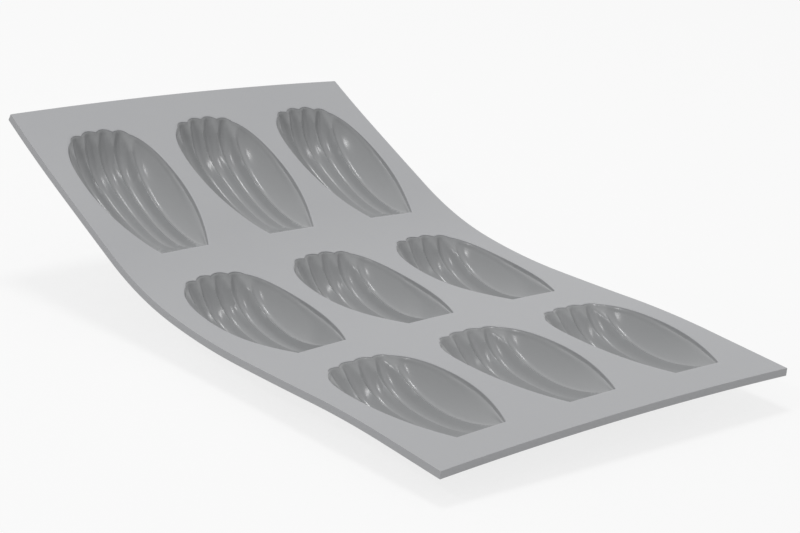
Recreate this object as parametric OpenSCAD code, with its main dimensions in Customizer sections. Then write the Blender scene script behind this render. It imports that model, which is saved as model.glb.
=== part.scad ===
// A flexible baking mould for nine shell-shaped cakes, lying in a shallow S curve.
// u runs across the sheet, s along it from the near end, and h up from its top face.

/* [Sheet] */
// Width of the sheet across the columns, mm
sheet_w = 176; // [168:1:190]
// Length of the sheet along the rows, mm
sheet_l = 300; // [292:1:320]
// Thickness of the sheet, mm
sheet_t = 3.2; // [2.5:0.1:4]
// Distance between columns of cups, mm
pitch_u = 55; // [52:0.5:57]
// Distance between rows of cups, mm
pitch_s = 95.2; // [92:0.2:97]
// Width of the thin band that flexes between rows, mm
web_l = 10; // [8:1:12]

/* [Cup] */
// Half the greatest width of a cup at its rim, mm
cup_half_w = 22.4; // [20:0.2:23]
// Half the width of the straight end, mm
heel_half_w = 11.7; // [9:0.1:14]
// Length of a cup at its rim, mm
cup_l = 75.8; // [70:0.2:77]
// Greatest inner depth of a cup, mm
cup_depth = 16.4; // [14:0.2:18]
// Wall of a cup, mm
cup_wall = 2; // [1.6:0.1:2.6]
// Width of the rim lip that seats in the sheet, mm
lip = 1.2; // [1:0.1:1.6]
// Height of the ridges between flutes, mm
ridge_h = 1.8; // [0.8:0.1:2.2]
// Bulge of each scallop at the wide end, mm
scallop = 1.2; // [0.6:0.1:1.6]

/* [Curve] */
// Slope of the near row at its free end, degrees
slope_near = 2.5; // [0:0.5:5]
// Slope at the dip before the middle row, degrees
slope_dip = -2.5; // [-4:0.5:0]
// Slope of the middle row at its far edge, degrees
slope_middle = 6.4; // [4:0.2:9]
// Slope of the far row, degrees
slope_far = 24; // [18:0.5:27]
// Turn of the bend lines away from straight across, degrees
skew = -4; // [-5:0.5:5]
// Height of the crown along the middle of the sheet, mm
crown = 2.2; // [0:0.1:3]
// Rise of one corner through twist, mm
twist = -2.1; // [-3:0.1:3]

/* [Hidden] */

// Share of the cup that lies beyond its reference line, towards the wide end
cup_far = cup_l * 0.645;
cup_near = cup_far - cup_l;
// The outermost ridges stand this far out and this far short of the middle one
ridge_u = cup_half_w * 0.658;
ridge_s = cup_far - 4.1;
// How deep the lowest cups are cut flat where they stand
flat_cut = 0.8;
side_steps = 8;
lobe_steps = 4;
heel_steps = 3;
rings = 7;
slopes = [
    slope_near, slope_near, slope_dip, slope_dip * 0.6,
    slope_middle, slope_far - 0.5, slope_far, slope_far + 4
];
reach = sheet_w / 2 * abs(sin(skew)) + 1;
station = (sheet_l + 2 * reach) / (len(slopes) - 1);
row_mid = sheet_l / 2 - (cup_far + cup_near) / 2;

function tidy(x) = round(x * 10000) / 10000;
function mix(a, b, f) = a + (b - a) * f;
function rad(a) = a * PI / 180;
function sinc(a) = abs(a) < 0.0001 ? 1 : sin(a) / rad(a);

// Each stretch between stations is an arc whose slope changes evenly.
function stretch(a, b, l) = l * sinc((b - a) / 2) * [cos((a + b) / 2), sin((a + b) / 2)];
function walk(i) = i == 0 ? [-reach, 0] : walk(i - 1) + stretch(slopes[i - 1], slopes[i], station);
walked = [for (i = [0 : len(slopes) - 1]) walk(i)];
function at(p) = max(0, min(len(slopes) - 2, floor((p + reach) / station)));
function slope_in(i, d) = mix(slopes[i], slopes[i + 1], d / station);
function along(p, i, d) = concat(walked[i] + stretch(slopes[i], slope_in(i, d), d), [slope_in(i, d)]);
function curve(p) = along(p, at(p), p + reach - at(p) * station);

// A point of the flat sheet is carried onto the curved one.
function lift(u, s, h) =
    h + crown * (1 - pow(2 * u / sheet_w, 2)) + twist * (2 * u / sheet_w) * (2 * s / sheet_l - 1);
function place(u, s, k, hh) = let (
    a = k[0] - hh * sin(k[2]),
    g = u * cos(skew) - s * sin(skew)
) [g * cos(skew) + a * sin(skew), a * cos(skew) - g * sin(skew), k[1] + hh * cos(k[2])];
function raw(q) = place(q[0], q[1], curve(q[1] * cos(skew) + q[0] * sin(skew)), lift(q[0], q[1], q[2]));

// The rim of a cup: straight heel, curved flank, then scallops round the wide end.
function bezier(a, b, c, d, t) =
    a * pow(1 - t, 3) + 3 * b * t * pow(1 - t, 2) + 3 * c * t * t * (1 - t) + d * pow(t, 3);
heel = [heel_half_w, cup_near];
waist = [cup_half_w, cup_near + cup_l * 0.573];
corner = [ridge_u, ridge_s];
inner_ridge = [ridge_u * 0.543, cup_far - 1.5];
mid_ridge = [0, cup_far - 0.4];
function lower_flank(t) = bezier(
    heel, heel + [6.6, 13.4], waist - [0, 16], waist, t);
function upper_flank(t) = bezier(
    waist, waist + [0, 13], corner + [5.8, -4.7], corner, t);
function lobe(a, b, t) =
    mix(a, b, t) + 4 * scallop * t * (1 - t) * [b[1] - a[1], a[0] - b[0]] / norm(b - a);
half_rim = concat(
    [for (i = [0 : heel_steps - 1]) [heel_half_w * i / heel_steps, cup_near]],
    [for (i = [0 : side_steps - 1]) lower_flank(i / side_steps)],
    [for (i = [0 : side_steps - 1]) upper_flank(i / side_steps)],
    [for (i = [0 : lobe_steps - 1]) lobe(corner, inner_ridge, i / lobe_steps)],
    [for (i = [0 : lobe_steps - 1]) lobe(inner_ridge, mid_ridge, i / lobe_steps)],
    [mid_ridge]
);
last = len(half_rim) - 1;
rim = concat(half_rim, [for (i = [last - 1 : -1 : 1]) [-half_rim[i][0], half_rim[i][1]]]);
around = len(rim);
cup_mid = [0, (cup_far + cup_near) / 2];
function out(q, e) = q + e * (q - cup_mid) / norm(q - cup_mid);

// Depth of a cup along its length, deepest a little beyond the middle.
function keel(s) = let (f = (cup_far - s) / cup_l)
    cup_depth * (1 - 0.42 * pow(max(0, f - 0.4) / 0.6, 2) - 0.25 * pow(max(0, 0.4 - f) / 0.4, 2));
function flute(u, s) = let (
    f = (cup_far - s) / cup_l,
    q = abs(u) / (ridge_u / 2 * mix(1, 0.6, f)),
    r = abs(q - round(q))
) q > 2.5 ? 0 : ridge_h * mix(1, 0.5, f) * pow(1 - 2 * r, 2);
// The wall drops from the rim and levels out into the floor.
wall_curve = 0.7;
function fall(g) = pow(1 - pow(g, 3), wall_curve);
function ring(k, n) = 1 - pow(k / n, 1.5);
function inner_point(q, g) = let (
    c = cup_mid + (q - cup_mid) * g,
    f = fall(g)
) [c[0], c[1], -f * (keel(c[1]) - (g > 0.05 && g < 1 ? flute(c[0], c[1]) * min(1, 3 * f) : 0))];
function outer_point(q, g) = let (
    c = cup_mid + (out(q, lip) - cup_mid) * g
) [c[0], c[1], -sheet_t - fall(g) * (keel(c[1]) + cup_wall - sheet_t)];

// The lowest places of the near and middle rows settle how the mould sits.
function row_s(r) = row_mid + (r - 1) * pitch_s;
function under(r) = [
    for (c = [-1 : 1], q = rim, k = [2 : rings])
        raw(outer_point(q, ring(k, rings)) + [c * pitch_u, row_s(r), 0])
];
function lowest(l) = let (z = min([for (q = l) q[2]])) [for (q = l) if (q[2] == z) q][0];
low_near = lowest(under(0));
low_middle = lowest(under(1));
lean = -atan2(low_middle[2] - low_near[2], low_middle[1] - low_near[1]);
function leaned(q) = [q[0], q[1] * cos(lean) - q[2] * sin(lean), q[1] * sin(lean) + q[2] * cos(lean)];
// The origin is on the ground, at the middle of the box round the sheet's edge.
border = [
    for (a = [-1 : 0.25 : 1], b = [0 : 0.05 : 1], h = [0, -sheet_t])
        if (abs(a) == 1 || b == 0 || b > 0.999) leaned(raw([a * sheet_w / 2, b * sheet_l, h]))
];
function middle_of(l) = (min(l) + max(l)) / 2;
centre = [middle_of([for (q = border) q[0]]), middle_of([for (q = border) q[1]])];
ground = min(leaned(low_near)[2], leaned(low_middle)[2]) + flat_cut;
function P(q) = let (w = leaned(raw([tidy(q[0]), tidy(q[1]), tidy(q[2])])))
    [w[0] - centre[0], w[1] - centre[1], max(0, w[2] - ground)];

function band(a, b, n, flip) = [
    for (i = [0 : n - 1]) let (j = (i + 1) % n)
        each flip ? [[a + i, b + j, a + j], [a + i, b + i, b + j]]
                  : [[a + i, a + j, b + j], [a + i, b + j, b + i]]
];

// One cup: fluted inside, plain outside, with a lip flush with the sheet.
module cup(col, row) {
    move = [col * pitch_u, row_s(row), 0];
    inside = [for (k = [0 : rings - 1], q = rim) inner_point(q, ring(k, rings)) + move];
    top = [for (q = rim) concat(out(q, lip), [0]) + move];
    outside = [for (k = [0 : rings - 1], q = rim) outer_point(q, ring(k, rings)) + move];
    tips = [inner_point(cup_mid, 0) + move, outer_point(cup_mid + [0, 0.001], 0) + move];
    base_top = rings * around;
    base_out = base_top + around;
    tip = base_out + rings * around;
    polyhedron(
        points = [for (q = concat(inside, top, outside, tips)) P(q)],
        faces = concat(
            [for (k = [0 : rings - 2]) each band(k * around, (k + 1) * around, around, true)],
            [for (i = [0 : around - 1])
                [(rings - 1) * around + i, tip, (rings - 1) * around + (i + 1) % around]],
            band(0, base_top, around, false),
            band(base_top, base_out, around, false),
            [for (k = [0 : rings - 2])
                each band(base_out + k * around, base_out + (k + 1) * around, around, false)],
            [for (i = [0 : around - 1])
                [tip - around + i, tip - around + (i + 1) % around, tip + 1]]
        )
    );
}

// The frame of sheet round one cup, as rings from the cup's lip to the cell's edge.
cell_rings = 3;
function side_of(c) = c == 0 ? pitch_u / 2 : sheet_w / 2 - pitch_u;
function row_ends(r) = [
    r == 0 ? 0 : row_s(r) + seam(-1),
    r == 2 ? sheet_l : row_s(r) + seam(1)
];
function seam(way) = let (gap = pitch_s - cup_l)
    way > 0 ? cup_far + (gap - web_l) / 2 : cup_near - (gap - web_l) / 2;
heel_index = heel_steps;
corner_index = heel_steps + 2 * side_steps;
// Where a rim point lands on the cell's edge: heel to near edge, flank to side, scallops to far edge.
function edge_share(i) =
    i <= heel_index ? [i / heel_index, 0]
    : i <= corner_index ? [1, (i - heel_index) / (corner_index - heel_index)]
    : [(last - i) / (last - corner_index), 1];
function cell_edge(i, col, ends) = let (
    m = i <= last ? i : around - i,
    way = i <= last ? 1 : -1,
    w = way * col > 0 ? sheet_w / 2 - pitch_u : pitch_u / 2,
    e = edge_share(m)
) [way * e[0] * w, mix(ends[0], ends[1], e[1])];
function cell_ring(col, row, k, h) = [
    for (i = [0 : around - 1]) let (
        a = out(rim[i], lip) + [0, row_s(row)],
        b = cell_edge(i, col, row_ends(row)),
        q = mix(a, b, k / cell_rings)
    ) [q[0] + col * pitch_u, q[1], h]
];

// A panel is three cells side by side, closed by the strips round its outer edge.
module panel(row) {
    layer = (cell_rings + 1) * around;
    points = [
        for (col = [-1 : 1], h = [0, -sheet_t], k = [0 : cell_rings])
            each cell_ring(col, row, k, h)
    ];
    function base(col, lower) = ((col + 1) * 2 + lower) * layer;
    function on_side(i, way) = let (m = i <= last ? i : around - i)
        (way > 0 ? i <= last : i >= around - corner_index)
            && m >= heel_index && m <= corner_index;
    // An edge step that lies on a side shared with the next cell is left open.
    function shared(i, col) = let (j = (i + 1) % around)
        (col < 1 && on_side(i, 1) && on_side(j, 1))
            || (col > -1 && on_side(i, -1) && on_side(j, -1));
    polyhedron(
        points = [for (q = points) P(q)],
        faces = concat(
            [for (col = [-1 : 1], k = [0 : cell_rings - 1])
                each band(base(col, 0) + k * around, base(col, 0) + (k + 1) * around, around, false)],
            [for (col = [-1 : 1], k = [0 : cell_rings - 1])
                each band(base(col, 1) + k * around, base(col, 1) + (k + 1) * around, around, true)],
            [for (col = [-1 : 1]) each band(base(col, 0), base(col, 1), around, true)],
            [for (col = [-1 : 1], i = [0 : around - 1]) if (!shared(i, col)) let (
                j = (i + 1) % around,
                a = base(col, 0) + cell_rings * around,
                b = base(col, 1) + cell_rings * around
            ) each [[a + i, a + j, b + j], [a + i, b + j, b + i]]]
        )
    );
}

// The thin bands between rows follow the same steps across as the panels' edges.
web_steps = 4;
function stops(n, c) = [
    for (i = [-n : n]) c * pitch_u + (i * c > 0 ? sheet_w / 2 - pitch_u : pitch_u / 2) * i / n
];
far_n = last - corner_index;
function across(n) = concat(
    stops(n, -1),
    [for (i = [1 : 2 * n]) stops(n, 0)[i]],
    [for (i = [1 : 2 * n]) stops(n, 1)[i]]
);
module web(row) {
    from = row_ends(row)[1];
    to = row_ends(row + 1)[0];
    // The edge towards the near row has its scallop steps, the other the heel steps.
    a = across(far_n);
    b = across(heel_steps);
    n = len(a);
    m = len(b);
    lines = [for (k = [0 : web_steps - 1]) mix(from, to, k / web_steps)];
    top = [for (s = lines, u = a) [u, s, 0]];
    bottom = [for (s = lines, u = a) [u, s, -sheet_t]];
    end_top = [for (u = b) [u, to, 0]];
    end_bottom = [for (u = b) [u, to, -sheet_t]];
    lo = len(top);
    et = 2 * lo;
    eb = et + m;
    row0 = (web_steps - 1) * n;
    // Steps across of the two edges are joined by walking both at once.
    function nearest(i) = round(i * (m - 1) / (n - 1));
    function zip(t, e, flip) = concat(
        [for (i = [0 : n - 2]) flip ? [t + i, t + i + 1, e + nearest(i)]
                                    : [t + i, e + nearest(i), t + i + 1]],
        [for (i = [0 : n - 2]) if (nearest(i + 1) > nearest(i))
            flip ? [t + i + 1, e + nearest(i + 1), e + nearest(i)]
                 : [t + i + 1, e + nearest(i), e + nearest(i + 1)]]
    );
    function grid(t, flip) = [
        for (k = [0 : web_steps - 2], i = [0 : n - 2]) let (
            p = t + k * n + i
        ) each flip ? [[p, p + 1, p + n + 1], [p, p + n + 1, p + n]]
                    : [[p, p + n + 1, p + 1], [p, p + n, p + n + 1]]
    ];
    polyhedron(
        points = [for (q = concat(top, bottom, end_top, end_bottom)) P(q)],
        faces = concat(
            grid(0, false), grid(lo, true), zip(row0, et, false), zip(lo + row0, eb, true),
            [for (i = [0 : n - 2]) each [[i, i + 1, lo + i], [i + 1, lo + i + 1, lo + i]]],
            [for (i = [0 : m - 2])
                each [[et + i, eb + i + 1, et + i + 1], [et + i, eb + i, eb + i + 1]]],
            [for (k = [0 : web_steps - 2]) let (p = k * n)
                each [[p, lo + p, lo + p + n], [p, lo + p + n, p + n]]],
            [for (k = [0 : web_steps - 2]) let (p = k * n + n - 1)
                each [[p, lo + p + n, lo + p], [p, p + n, lo + p + n]]],
            [[row0, lo + row0, eb], [row0, eb, et]],
            [[row0 + n - 1, eb + m - 1, lo + row0 + n - 1], [row0 + n - 1, et + m - 1, eb + m - 1]]
        )
    );
}

silicone = [0.69, 0.70, 0.72];
cup_grey = [0.60, 0.61, 0.63];

module near_row_panel() { color(silicone) panel(0); }
module middle_row_panel() { color(silicone) panel(1); }
module far_row_panel() { color(silicone) panel(2); }
module near_flex_web() { color(silicone) web(0); }
module far_flex_web() { color(silicone) web(1); }

near_row_panel();
middle_row_panel();
far_row_panel();
near_flex_web();
far_flex_web();
ROWS = ["near", "middle", "far"];
COLUMNS = ["left", "centre", "right"];
for (r = [0 : 2], c = [0 : 2]) {
    color(cup_grey) cup(c - 1, r);
}
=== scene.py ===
# %% [markdown]
# The object is a flexible silicone mould for nine shell-shaped cakes. It is one moulding: a thin sheet with
# nine fluted cups hanging below it, bent in a shallow S along its length. The CAD solids are loaded first,
# because they fix the size and the place of everything that follows.

# %% Load the frame
import math
import bpy
import bmesh
import numpy as np
from mathutils import Euler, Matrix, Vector


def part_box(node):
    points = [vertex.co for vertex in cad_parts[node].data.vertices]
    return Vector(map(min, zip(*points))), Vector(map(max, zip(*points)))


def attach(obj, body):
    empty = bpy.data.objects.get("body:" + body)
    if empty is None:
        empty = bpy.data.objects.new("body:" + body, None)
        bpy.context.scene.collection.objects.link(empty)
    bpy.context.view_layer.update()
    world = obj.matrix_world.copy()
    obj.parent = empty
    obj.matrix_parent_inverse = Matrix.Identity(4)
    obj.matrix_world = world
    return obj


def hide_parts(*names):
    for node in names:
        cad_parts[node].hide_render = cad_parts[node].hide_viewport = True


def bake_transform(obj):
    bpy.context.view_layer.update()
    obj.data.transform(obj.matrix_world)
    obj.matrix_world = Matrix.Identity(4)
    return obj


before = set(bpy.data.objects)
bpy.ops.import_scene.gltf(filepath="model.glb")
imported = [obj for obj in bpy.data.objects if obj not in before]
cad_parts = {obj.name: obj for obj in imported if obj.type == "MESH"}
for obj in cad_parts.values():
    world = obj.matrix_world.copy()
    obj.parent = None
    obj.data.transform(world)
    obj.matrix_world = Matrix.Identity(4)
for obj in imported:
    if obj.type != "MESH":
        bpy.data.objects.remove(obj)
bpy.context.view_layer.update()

# %% [markdown]
# The mould is first drawn flat, in millimetres: u runs across the sheet, s along it from the near end, and h
# up from its top face. The same rule that curves the solids then carries every point onto the curved sheet.
# Working flat keeps the cups alike, and the rule keeps the finish exactly where the solids are.

# %% Sizes of the flat mould
SHEET_W = 176.0
SHEET_L = 300.0
SHEET_T = 3.2
PITCH_U = 55.0
PITCH_S = 95.2
WEB_L = 10.0
CUP_HALF_W = 22.4
HEEL_HALF_W = 11.7
CUP_L = 75.8
CUP_DEPTH = 16.4
CUP_WALL = 2.0
RIDGE_H = 3.4
SCALLOP = 1.8
RIM_ROUND = 0.45
WIDE_END_SHARE = 0.645
OUTER_RIDGE_SHARE = 0.658
OUTER_RIDGE_BACK = 4.1
LIP = 1.2
CUP_FAR = CUP_L * WIDE_END_SHARE
CUP_NEAR = CUP_FAR - CUP_L
RIDGE_U = CUP_HALF_W * OUTER_RIDGE_SHARE
RIDGE_S = CUP_FAR - OUTER_RIDGE_BACK
ROW_MID = SHEET_L / 2 - (CUP_FAR + CUP_NEAR) / 2
ROW_S = [ROW_MID + way * PITCH_S for way in (-1, 0, 1)]
GAP_HALF = (PITCH_S - CUP_L - WEB_L) / 2
PANEL_FROM = [0.0] + [s + CUP_NEAR - GAP_HALF for s in ROW_S[1:]]
PANEL_TO = [s + CUP_FAR + GAP_HALF for s in ROW_S[:2]] + [SHEET_L]
print("rows at", ROW_S, "panels from", PANEL_FROM, "to", PANEL_TO)

# %% [markdown]
# The curve is a chain of arcs: the slope of the sheet is known at eight even stations, and it changes evenly
# between them. A slight skew turns the bend lines, a crown lifts the middle of the width, and a twist lifts
# one corner, as on a limp sheet that was put down by hand.

# %% The curve of the sheet
SKEW = math.radians(-4.0)
CROWN = 2.2
TWIST = -2.1
SLOPES = np.radians([2.5, 2.5, -2.5, -1.5, 6.4, 23.5, 24.0, 28.0])
REACH = SHEET_W / 2 * abs(math.sin(SKEW)) + 1
STATION = (SHEET_L + 2 * REACH) / (len(SLOPES) - 1)
MM = 0.001


def stretch(a, b, length):
    """How far an arc of this length goes along and up while its slope turns from a to b."""
    half = (b - a) / 2
    chord = length * np.sinc(half / math.pi)
    return chord * np.cos((a + b) / 2), chord * np.sin((a + b) / 2)


walked = np.zeros((len(SLOPES), 2))
walked[0] = [-REACH, 0]
for i in range(1, len(SLOPES)):
    walked[i] = walked[i - 1] + stretch(SLOPES[i - 1], SLOPES[i], STATION)


def curved(flat):
    """Flat points (u, s, h) in mm, carried onto the curved sheet before it is set down."""
    u, s, h = flat.T
    p = s * math.cos(SKEW) + u * math.sin(SKEW)
    g = u * math.cos(SKEW) - s * math.sin(SKEW)
    i = np.clip(np.floor((p + REACH) / STATION).astype(int), 0, len(SLOPES) - 2)
    d = p + REACH - i * STATION
    slope = SLOPES[i] + (SLOPES[i + 1] - SLOPES[i]) * d / STATION
    y, z = stretch(SLOPES[i], slope, d)
    side = 2 * u / SHEET_W
    up = h + CROWN * (1 - side**2) + TWIST * side * (2 * s / SHEET_L - 1)
    a = y + walked[i, 0] - up * np.sin(slope)
    return np.stack([
        g * math.cos(SKEW) + a * math.sin(SKEW),
        a * math.cos(SKEW) - g * math.sin(SKEW),
        z + walked[i, 1] + up * np.cos(slope),
    ], axis=1)


# %% [markdown]
# The outline of a cup is a straight heel, two curved flanks and four scallops round the wide end. Each flank
# is two Bezier curves, and each scallop a shallow arch between two ridges.

# %% The rim of a cup
FLANK_STEPS = 26
LOBE_STEPS = 10
HEEL_STEPS = 2 * LOBE_STEPS
WAIST_SHARE = 0.573
HEEL_HANDLE = [6.6, 13.4]
WAIST_HANDLE_NEAR = 16
WAIST_HANDLE_FAR = 13
RIDGE_HANDLE = [5.8, -4.7]
INNER_RIDGE_SHARE = 0.543
INNER_RIDGE_BACK = 1.5
MIDDLE_RIDGE_BACK = 0.4


def bezier(a, b, c, d, steps):
    t = np.linspace(0, 1, steps, endpoint=False)[:, None]
    return a * (1 - t)**3 + 3 * b * t * (1 - t)**2 + 3 * c * t * t * (1 - t) + d * t**3


def lobe(a, b):
    t = np.linspace(0, 1, LOBE_STEPS, endpoint=False)[:, None]
    across = np.array([b[1] - a[1], a[0] - b[0]]) / np.linalg.norm(b - a)
    return a + (b - a) * t + 4 * SCALLOP * t * (1 - t) * across


heel = np.array([HEEL_HALF_W, CUP_NEAR])
waist = np.array([CUP_HALF_W, CUP_NEAR + CUP_L * WAIST_SHARE])
corner = np.array([RIDGE_U, RIDGE_S])
inner_ridge = np.array([RIDGE_U * INNER_RIDGE_SHARE, CUP_FAR - INNER_RIDGE_BACK])
mid_ridge = np.array([0.0, CUP_FAR - MIDDLE_RIDGE_BACK])
half_rim = np.concatenate([
    np.linspace([0.0, CUP_NEAR], heel, HEEL_STEPS, endpoint=False),
    bezier(heel, heel + HEEL_HANDLE, waist - [0, WAIST_HANDLE_NEAR], waist, FLANK_STEPS),
    bezier(waist, waist + [0, WAIST_HANDLE_FAR], corner + RIDGE_HANDLE, corner, FLANK_STEPS),
    lobe(corner, inner_ridge),
    lobe(inner_ridge, mid_ridge),
    [mid_ridge],
])
LAST = len(half_rim) - 1
rim = np.concatenate([half_rim, half_rim[LAST - 1:0:-1] * [-1, 1]])
AROUND = len(rim)
print("points round a rim:", AROUND)

# %% [markdown]
# Inside, the wall falls from the rim and levels out into the floor. Its depth follows a smooth measure of
# how far a point is from the rim, so the scallops run on down the wall and no crease forms along the keel.
# Five ridges run down the wide end and along the floor, drawing together towards the heel. The mesh lines
# follow the ridges, which keeps their narrow crests crisp: round the floor runs a patch between the outer
# ridges, and rings join that patch to the rim.

# %% The inside and the underside of a cup
PATCH_NEAR = CUP_NEAR + 11
PATCH_FAR = CUP_FAR - 21
WALL_REACH = 24.0
CREST = 0.04
CREST_SHARE = 0.45
WALL_EASE = 0.95
DRAW_IN = 0.4
RIDGE_FADE = 0.42
DEEPEST_AT = 0.4
HEEL_RISE = 0.42
TIP_RISE = 0.2
FOOT_SHARE = 0.6
FADE_IN = 30
across_steps = 4 * LOBE_STEPS
along_steps = 2 * FLANK_STEPS


def ridge_spacing(s):
    return RIDGE_U / 2 * (1 - DRAW_IN * np.clip((CUP_FAR - s) / CUP_L, 0, 1))


def patch_point(a, b):
    """The floor patch: a from 0 to 1 across, b from 0 to 1 from the heel to the wide end."""
    s = PATCH_NEAR + (PATCH_FAR - PATCH_NEAR) * b
    return np.stack([(4 * a - 2) * ridge_spacing(s), s], axis=-1)


def patch_border():
    m = np.minimum(np.arange(AROUND), AROUND - np.arange(AROUND))
    way = np.where(np.arange(AROUND) <= LAST, 1, -1)
    share = np.where(m <= HEEL_STEPS, m / HEEL_STEPS, 1.0)
    share = np.where(m > HEEL_STEPS + along_steps, (LAST - m) / (LAST - HEEL_STEPS - along_steps), share)
    b = np.clip((m - HEEL_STEPS) / along_steps, 0, 1)
    return patch_point(0.5 + way * share / 2, b)


border = patch_border()


def keel(s):
    f = (CUP_FAR - s) / CUP_L
    towards_heel = HEEL_RISE * (np.clip(f - DEEPEST_AT, 0, None) / (1 - DEEPEST_AT))**2
    towards_tip = TIP_RISE * (np.clip(DEEPEST_AT - f, 0, None) / DEEPEST_AT)**2
    return CUP_DEPTH * (1 - towards_heel - towards_tip)


def ridges(u, s):
    """Height of the ridges over the floor: narrow rounded crests, none outside the fifth."""
    f = np.clip((CUP_FAR - s) / CUP_L, 0, 1)
    q = np.abs(u) / ridge_spacing(s)
    r = np.sqrt((q - np.clip(np.round(q), 0, 2))**2 + CREST**2) - CREST
    return RIDGE_H * (1 - RIDGE_FADE * f) * np.clip(1 - 2 * r, 0, 1)**2


def from_rim(points, outline):
    """A smooth distance from the outline, the same as the true one close to it."""
    step = np.linalg.norm(np.roll(outline, -1, axis=0) - outline, axis=1)
    middle = (outline + np.roll(outline, -1, axis=0)) / 2
    gap = np.linalg.norm(points[:, None] - middle[None], axis=2)
    return (np.sum(step / (gap**4 + 1e-4), axis=1) * 2 / math.pi)**(-1 / 3)


def wall_fall(d):
    return (1 - (1 - np.clip(d / WALL_REACH, 0, 1))**3)**WALL_EASE


def pushed(points, e):
    away = points - border
    return points + e * away / np.linalg.norm(away, axis=1)[:, None]


foot = pushed(rim, CUP_WALL * FOOT_SHARE)


def cup_surface(at, inside, share=1.0):
    """Points of the flat plan, lowered to the floor or the underside. Share fades in from the rim."""
    d = from_rim(at, rim if inside else foot)
    f = wall_fall(d) * share
    if inside:
        fall = f * (keel(at[:, 1]) - RIM_ROUND)
        depth = RIM_ROUND + fall - np.minimum(ridges(*at.T) * share, CREST_SHARE * fall)
    else:
        depth = SHEET_T + f * (keel(at[:, 1]) + CUP_WALL - SHEET_T)
    return np.column_stack([at, -np.maximum(depth, RIM_ROUND if inside else SHEET_T)])


def cup_ring(g, inside):
    start = rim if inside else foot
    return cup_surface(border + (start - border) * g, inside, min(1.0, (1 - g) * FADE_IN))


def floor_patch(inside):
    """The inner points of the patch, row by row from the heel."""
    a = np.arange(1, across_steps) / across_steps
    b = np.arange(1, along_steps) / along_steps
    plan = patch_point(*np.meshgrid(a, b)).reshape(-1, 2)
    return cup_surface(plan, inside)


def patch_index(a, b, ring_base, inner_base):
    """The number of the patch's corner (a, b): on its border one of the last ring's points."""
    c = a - across_steps // 2
    if b == 0:
        return ring_base + c % AROUND
    if b == along_steps:
        return ring_base + (LAST - c if c >= 0 else AROUND - LAST - c)
    if a == across_steps:
        return ring_base + HEEL_STEPS + b
    if a == 0:
        return ring_base + AROUND - HEEL_STEPS - b
    return inner_base + (b - 1) * (across_steps - 1) + a - 1


# %% [markdown]
# One cell of the sheet is the cup with the flat frame round it. The rim turns over a small round so that it
# catches a thin light. The frame's rings go from the rim to the edges of the cell, evenly spread.

# %% One flat cell as a mesh
FRAME_RINGS = 12
ROUND_STEPS = 4
IN_RINGS = 30
UNDER_RINGS = 20
CROWDING = 1.4
CORNER = HEEL_STEPS + 2 * FLANK_STEPS


def cell_edge(s_from, s_to):
    """Where each rim point lands on the cell's edge: heel to near side, flanks to the sides."""
    m = np.minimum(np.arange(AROUND), AROUND - np.arange(AROUND))
    way = np.where(np.arange(AROUND) <= LAST, 1, -1)
    across = np.where(m <= HEEL_STEPS, m / HEEL_STEPS, 1.0)
    across = np.where(m > CORNER, (LAST - m) / (LAST - CORNER), across)
    up = np.clip((m - HEEL_STEPS) / (CORNER - HEEL_STEPS), 0, 1)
    return np.stack([way * across * PITCH_U / 2, s_from + (s_to - s_from) * up], axis=1)


def level(points, h):
    return np.column_stack([points, np.full(len(points), h)])


def cell_mesh(row):
    """The open shell of one cell, from edge over the top and the cup, then back under it."""
    s0 = PIECE_FROM[row] - ROW_S[row]
    s1 = PIECE_TO[row] - ROW_S[row]
    edge = cell_edge(s0, s1)
    lip = pushed(rim, RIM_ROUND)
    top = [level(edge + (lip - edge) * k / FRAME_RINGS, 0) for k in range(FRAME_RINGS + 1)]
    for k in range(1, ROUND_STEPS + 1):
        a = math.pi / 2 * k / ROUND_STEPS
        top.append(level(pushed(rim, RIM_ROUND * (1 - math.sin(a))), -RIM_ROUND * (1 - math.cos(a))))
    steps = [1 - (k / IN_RINGS)**CROWDING for k in range(1, IN_RINGS + 1)]
    top += [cup_ring(g, True) for g in steps]
    under = [level(edge + (foot - edge) * k / FRAME_RINGS, -SHEET_T) for k in range(FRAME_RINGS + 1)]
    under += [cup_ring(1 - (k / UNDER_RINGS)**CROWDING, False) for k in range(1, UNDER_RINGS + 1)]
    rings_end = (len(top) + len(under)) * AROUND
    inner_patch, under_patch = floor_patch(True), floor_patch(False)
    points = np.concatenate(top + under + [inner_patch, under_patch]) + [0, ROW_S[row], 0]
    faces, inner = [], []
    for rings, base, flip in ((len(top), 0, False), (len(under), len(top) * AROUND, True)):
        for k in range(rings - 1):
            for i in range(AROUND):
                a, b = base + k * AROUND + i, base + k * AROUND + (i + 1) % AROUND
                quad = (a, b, b + AROUND, a + AROUND)
                faces.append(quad[::-1] if flip else quad)
                inner.append(int(k >= FRAME_RINGS + ROUND_STEPS - 1 and not flip))
    borders = ((len(top) - 1) * AROUND, rings_end - AROUND)
    inners = (rings_end, rings_end + len(inner_patch))
    for ring_base, inner_base, flip in zip(borders, inners, (False, True)):
        for b in range(along_steps):
            for a in range(across_steps):
                corners = ((a, b), (a + 1, b), (a + 1, b + 1), (a, b + 1))
                quad = tuple(patch_index(*c, ring_base, inner_base) for c in corners)
                faces.append(quad[::-1] if flip else quad)
                inner.append(int(not flip))
    for i in range(AROUND):
        a, b = i, (i + 1) % AROUND
        on_near_or_far_edge = abs(edge[a, 1] - edge[b, 1]) < 1e-9
        if on_near_or_far_edge:
            low = len(top) * AROUND
            faces.append((b, a, low + a, low + b))
            inner.append(0)
    mesh = bpy.data.meshes.new("flat_cell")
    mesh.from_pydata(points.tolist(), [], faces)
    mesh.polygons.foreach_set("material_index", inner)
    mesh.update()
    return mesh


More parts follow.
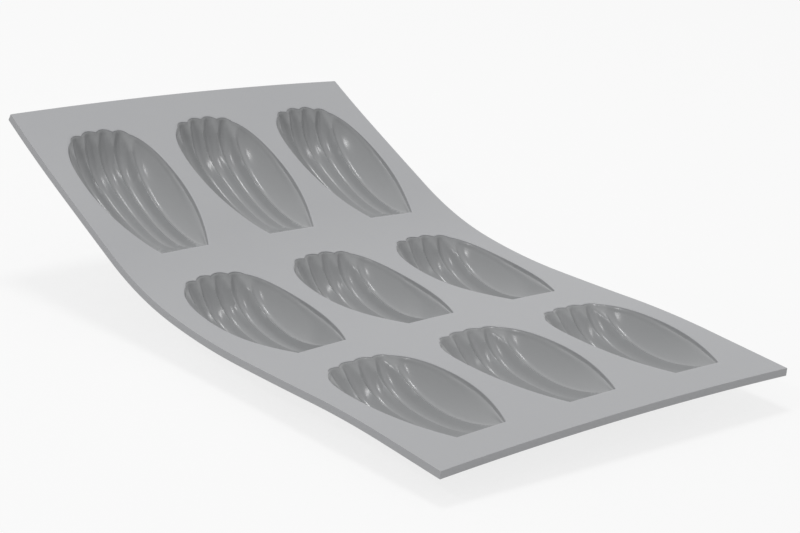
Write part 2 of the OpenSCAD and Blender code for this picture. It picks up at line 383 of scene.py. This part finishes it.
# The near piece takes the near web with it and the far piece the far web.
PIECE_FROM = [0.0, PANEL_FROM[1], PANEL_TO[1]]
PIECE_TO = [PANEL_FROM[1], PANEL_TO[1], SHEET_L]

# %% [markdown]
# Silicone is matte but not dull: a soft sheen, a faint mottle of tone and roughness, and a very fine
# grain. The cups are the same silicone, a little glossier, and their grey is set darker than the sheet's as
# painted shade.

# %% Silicone
SHEET_GREY = (0.44, 0.445, 0.46, 1)
SHEET_GREY_2 = (0.47, 0.475, 0.485, 1)
MOTTLE_SCALE = 22
GRAIN_SCALE = 1400
GRAIN_DEPTH = 0.0001
# The cups' grey is darker than the sheet's: painted shade inside the cups, which are the same silicone.
CUP_PAINTED_SHADE_GREY = (0.36, 0.366, 0.372, 1)
CUP_PAINTED_SHADE_GREY_2 = (0.39, 0.396, 0.402, 1)


def silicone(name, low, high, rough_low, rough_high, grain):
    material = bpy.data.materials.new(name)
    material.use_nodes = True
    nodes, links = material.node_tree.nodes, material.node_tree.links
    shader = nodes["Principled BSDF"]
    shader.inputs["Specular IOR Level"].default_value = 0.4
    shader.inputs["IOR"].default_value = 1.43
    place = nodes.new("ShaderNodeTexCoord")
    mottle = nodes.new("ShaderNodeTexNoise")
    mottle.inputs["Scale"].default_value = MOTTLE_SCALE
    mottle.inputs["Detail"].default_value = 3
    fine = nodes.new("ShaderNodeTexNoise")
    fine.inputs["Scale"].default_value = GRAIN_SCALE
    fine.inputs["Detail"].default_value = 2
    tint = nodes.new("ShaderNodeMix")
    tint.data_type = "RGBA"
    tint.inputs["A"].default_value = low
    tint.inputs["B"].default_value = high
    rough = nodes.new("ShaderNodeMapRange")
    rough.inputs["To Min"].default_value = rough_low
    rough.inputs["To Max"].default_value = rough_high
    bump = nodes.new("ShaderNodeBump")
    bump.inputs["Strength"].default_value = grain
    bump.inputs["Distance"].default_value = GRAIN_DEPTH
    for noise in (mottle, fine):
        links.new(place.outputs["Object"], noise.inputs["Vector"])
    links.new(mottle.outputs["Fac"], tint.inputs["Factor"])
    links.new(mottle.outputs["Fac"], rough.inputs["Value"])
    links.new(fine.outputs["Fac"], bump.inputs["Height"])
    links.new(tint.outputs["Result"], shader.inputs["Base Color"])
    links.new(rough.outputs["Result"], shader.inputs["Roughness"])
    links.new(bump.outputs["Normal"], shader.inputs["Normal"])
    return material


sheet_silicone = silicone("sheet_silicone", SHEET_GREY, SHEET_GREY_2, 0.42, 0.55, 0.25)
# The cup material is glossier, and its darker grey is painted shade.
cup_silicone = silicone("cup_silicone", CUP_PAINTED_SHADE_GREY, CUP_PAINTED_SHADE_GREY_2, 0.16, 0.24, 0.08)

# %% [markdown]
# The three cups of a row are alike, so Geometry Nodes repeat one cell along a line. The tree has the count
# and the pitch as named inputs, and joins the cells into one shell. It is made a plain mesh at once.

# %% Repeat a cell along a row
CUPS_IN_A_ROW = 3
SAME_POINT = 0.0005
tree = bpy.data.node_groups.new("cells_in_a_row", "GeometryNodeTree")
tree.interface.new_socket("Cell", in_out="INPUT", socket_type="NodeSocketGeometry")
count_in = tree.interface.new_socket("Cups", in_out="INPUT", socket_type="NodeSocketInt")
pitch_in = tree.interface.new_socket("Pitch", in_out="INPUT", socket_type="NodeSocketFloat")
tree.interface.new_socket("Row", in_out="OUTPUT", socket_type="NodeSocketGeometry")


def add(kind):
    return tree.nodes.new(kind)


group_in, group_out = add("NodeGroupInput"), add("NodeGroupOutput")
step, half, first = add("ShaderNodeCombineXYZ"), add("ShaderNodeMath"), add("ShaderNodeCombineXYZ")
line = add("GeometryNodeMeshLine")
line.mode = "OFFSET"
half.operation = "MULTIPLY"
half.inputs[1].default_value = -1.0
copies, real = add("GeometryNodeInstanceOnPoints"), add("GeometryNodeRealizeInstances")
joined = add("GeometryNodeMergeByDistance")
joined.inputs["Distance"].default_value = SAME_POINT
wires = (
    (group_in.outputs["Pitch"], step.inputs["X"]),
    (group_in.outputs["Pitch"], half.inputs[0]),
    (half.outputs["Value"], first.inputs["X"]),
    (group_in.outputs["Cups"], line.inputs["Count"]),
    (first.outputs["Vector"], line.inputs["Start Location"]),
    (step.outputs["Vector"], line.inputs["Offset"]),
    (line.outputs["Mesh"], copies.inputs["Points"]),
    (group_in.outputs["Cell"], copies.inputs["Instance"]),
    (copies.outputs["Instances"], real.inputs["Geometry"]),
    (real.outputs["Geometry"], joined.inputs["Geometry"]),
)
for source, target in wires:
    tree.links.new(source, target)

# %% [markdown]
# The cup material is kept by face, so the tree sets a material only where faces carry its index.

# %% Materials in the tree
last_geometry = joined.outputs["Geometry"]
for index, material in enumerate((sheet_silicone, cup_silicone)):
    here = add("GeometryNodeInputMaterialIndex")
    same = add("FunctionNodeCompare")
    paint = add("GeometryNodeSetMaterial")
    same.data_type = "INT"
    same.operation = "EQUAL"
    same.inputs[3].default_value = index
    paint.inputs["Material"].default_value = material
    tree.links.new(here.outputs["Material Index"], same.inputs[2])
    tree.links.new(same.outputs["Result"], paint.inputs["Selection"])
    tree.links.new(last_geometry, paint.inputs["Geometry"])
    last_geometry = paint.outputs["Geometry"]
tree.links.new(last_geometry, group_out.inputs["Row"])


def row_of_cells(row):
    """The three flat cells of a row as one plain mesh, in millimetres."""
    mesh = cell_mesh(row)
    mesh.materials.append(sheet_silicone)
    mesh.materials.append(cup_silicone)
    cell = bpy.data.objects.new("flat_cell", mesh)
    bpy.context.scene.collection.objects.link(cell)
    repeat = cell.modifiers.new("row", "NODES")
    repeat.node_group = tree
    repeat[count_in.identifier] = CUPS_IN_A_ROW
    repeat[pitch_in.identifier] = PITCH_U
    bpy.context.view_layer.update()
    graph = bpy.context.evaluated_depsgraph_get()
    made = bpy.data.meshes.new_from_object(cell.evaluated_get(graph))
    bpy.data.objects.remove(cell)
    return made


# %% [markdown]
# The outer cells are a little wider, as the sheet's side margins are, so their outermost strips are
# stretched to the edge. The open sides are closed, and then the flat row is curved and set down. Everything
# under the ground is pressed flat there: that is where the mould stands.

# %% Curve a row and set it down
CELL_EDGE = PITCH_U * 1.5
MARGIN_FROM = PITCH_U + CUP_HALF_W + LIP
LEAN = math.radians(0.6442)
SHARP = math.radians(38)


def leaned(points):
    """Lean the curved sheet a little, so that two rows of cups reach the ground together."""
    x, y, z = points.T
    return np.stack([x, y * math.cos(LEAN) - z * math.sin(LEAN), y * math.sin(LEAN) + z * math.cos(LEAN)], 1)


# The solid of the near panel says where the origin is: its lowest corner is the flat edge's own.
edge_u, edge_s, edge_h = np.meshgrid(
    np.linspace(-SHEET_W / 2, SHEET_W / 2, 177), np.linspace(0, PANEL_TO[0], 101), [0, -SHEET_T])
panel_grid = np.stack([edge_u.ravel(), edge_s.ravel(), edge_h.ravel()], axis=1)
ORIGIN = leaned(curved(panel_grid)).min(axis=0) - np.array(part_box("near_row_panel")[0]) / MM
print("origin of the drawing, mm:", ORIGIN.round(3))


def set_down(points):
    """Move the leaned sheet to the origin and press flat what would lie under the ground."""
    placed = leaned(points) - ORIGIN
    placed[:, 2] = np.maximum(placed[:, 2], 0)
    return placed * MM


def moulded_row(name, row):
    mesh = row_of_cells(row)
    work = bmesh.new()
    work.from_mesh(mesh)
    bmesh.ops.remove_doubles(work, verts=work.verts, dist=SAME_POINT)
    open_edges = [e for e in work.edges if e.is_boundary]
    sides = bmesh.ops.holes_fill(work, edges=open_edges, sides=0)["faces"]
    bmesh.ops.triangulate(work, faces=sides)
    flat = np.array([v.co for v in work.verts])
    over = np.clip((np.abs(flat[:, 0]) - MARGIN_FROM) / (CELL_EDGE - MARGIN_FROM), 0, 1)
    flat[:, 0] += np.sign(flat[:, 0]) * over * (SHEET_W / 2 - CELL_EDGE)
    placed = set_down(curved(flat))
    for vert, co in zip(work.verts, placed):
        vert.co = co
    bmesh.ops.recalc_face_normals(work, faces=work.faces)
    still_open = sum(e.is_boundary for e in work.edges)
    for face in work.faces:
        face.smooth = True
    work.to_mesh(mesh)
    work.free()
    mesh.set_sharp_from_angle(angle=SHARP)
    mesh.name = name
    piece = bpy.data.objects.new(name, mesh)
    bpy.context.scene.collection.objects.link(piece)
    print(name, len(mesh.polygons), "faces, open edges:", still_open)
    return piece


near_part = moulded_row("near_row_moulding", 0)
middle_part = moulded_row("middle_row_moulding", 1)
far_part = moulded_row("far_row_moulding", 2)

# %% [markdown]
# The middle row moves as one. The near and far pieces carry the plain webs and stay fixed where they lie.

# %% Join the middle piece to its moving row
CUPS = ("left", "centre", "right")


def on_sheet(s):
    return tuple(set_down(curved(np.array([[0.0, s, -SHEET_T / 2]])))[0])


on_sheet(PANEL_TO[0])
on_sheet(PANEL_FROM[1])
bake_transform(near_part)
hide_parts("near_row_panel", "near_flex_web", *[f"cup_near_{c}" for c in CUPS])
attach(middle_part, "middle_row")
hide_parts("middle_row_panel", *[f"cup_middle_{c}" for c in CUPS])
on_sheet(PANEL_TO[1])
on_sheet(PANEL_FROM[2])
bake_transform(far_part)
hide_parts("far_row_panel", "far_flex_web", *[f"cup_far_{c}" for c in CUPS])

# %% [markdown]
# The photograph was cut out on pure white. The world is white only to the camera and in reflections, and
# gives the object a softer light. A lamp overhead throws the gentle shade into the cups, and a small one at
# the left draws the thin lights that run down the flutes.

# %% Floor, world and lamps
FLOOR_SIZE = 8.0
FLOOR_GLOW = 0.8
bpy.ops.mesh.primitive_plane_add(size=FLOOR_SIZE, location=(0, 0, -0.0002))
floor = bpy.context.object
floor.name = "floor"
pale = bpy.data.materials.new("pale_floor")
pale.use_nodes = True
floor_nodes, floor_links = pale.node_tree.nodes, pale.node_tree.links
floor_nodes.remove(floor_nodes["Principled BSDF"])
paper = floor_nodes.new("ShaderNodeBsdfDiffuse")
paper.inputs["Color"].default_value = (0.9, 0.9, 0.9, 1)
glow = floor_nodes.new("ShaderNodeEmission")
glow.inputs["Strength"].default_value = 1.0
ray = floor_nodes.new("ShaderNodeLightPath")
share = floor_nodes.new("ShaderNodeMath")
share.operation = "MULTIPLY"
share.inputs[1].default_value = FLOOR_GLOW
both = floor_nodes.new("ShaderNodeMixShader")
floor_links.new(ray.outputs["Is Camera Ray"], share.inputs[0])
floor_links.new(share.outputs["Value"], both.inputs["Fac"])
floor_links.new(paper.outputs["BSDF"], both.inputs[1])
floor_links.new(glow.outputs["Emission"], both.inputs[2])
floor_links.new(both.outputs["Shader"], floor_nodes["Material Output"].inputs["Surface"])
floor.data.materials.append(pale)

world = bpy.data.worlds.new("studio")
bpy.context.scene.world = world
world.use_nodes = True
world_nodes, world_links = world.node_tree.nodes, world.node_tree.links
sky = world_nodes["Background"]
SKY_LIGHT = 0.45
path = world_nodes.new("ShaderNodeLightPath")
either = world_nodes.new("ShaderNodeMath")
either.operation = "MAXIMUM"
any_of = world_nodes.new("ShaderNodeMath")
any_of.operation = "MAXIMUM"
level_of = world_nodes.new("ShaderNodeMapRange")
level_of.inputs["To Min"].default_value = SKY_LIGHT
level_of.inputs["To Max"].default_value = 1.0
world_links.new(path.outputs["Is Camera Ray"], either.inputs[0])
world_links.new(path.outputs["Is Transmission Ray"], either.inputs[1])
world_links.new(path.outputs["Is Glossy Ray"], any_of.inputs[0])
world_links.new(either.outputs["Value"], any_of.inputs[1])
world_links.new(any_of.outputs["Value"], level_of.inputs["Value"])
world_links.new(level_of.outputs["Result"], sky.inputs["Strength"])
sky.inputs["Color"].default_value = (1, 1, 1, 1)


def lamp(name, size, power, where, aim=(0, 0, 0)):
    data = bpy.data.lights.new(name, "AREA")
    data.size = size
    data.energy = power
    light = bpy.data.objects.new(name, data)
    bpy.context.scene.collection.objects.link(light)
    light.location = where
    direction = np.array(aim) - np.array(where)
    light.rotation_euler = Vector(direction).to_track_quat("-Z", "Y").to_euler()
    return light


lamp("key", 0.4, 9.0, (0.1, 0.3, 1.6))
lamp("side", 0.16, 2.6, (-1.2, 0.1, 1.1))

# %% [markdown]
# The camera stands low on the near left, with a long lens, as the photograph was taken. It was placed by
# matching the corners of the sheet and the rims of the cups.

# %% Camera
CAMERA_AT = (-0.6966, -0.83945, 0.40423)
CAMERA_TURN = (71.0367, -3.0393, -39.0907)
LENS = 127.433
camera_data = bpy.data.cameras.new("camera")
camera_data.lens = LENS
camera_data.sensor_width = 36
camera_data.clip_end = 50
camera = bpy.data.objects.new("camera", camera_data)
bpy.context.scene.collection.objects.link(camera)
camera.location = CAMERA_AT
camera.rotation_euler = Euler([math.radians(a) for a in CAMERA_TURN], "XYZ")
bpy.context.scene.camera = camera
bpy.context.scene.view_settings.view_transform = "Standard"
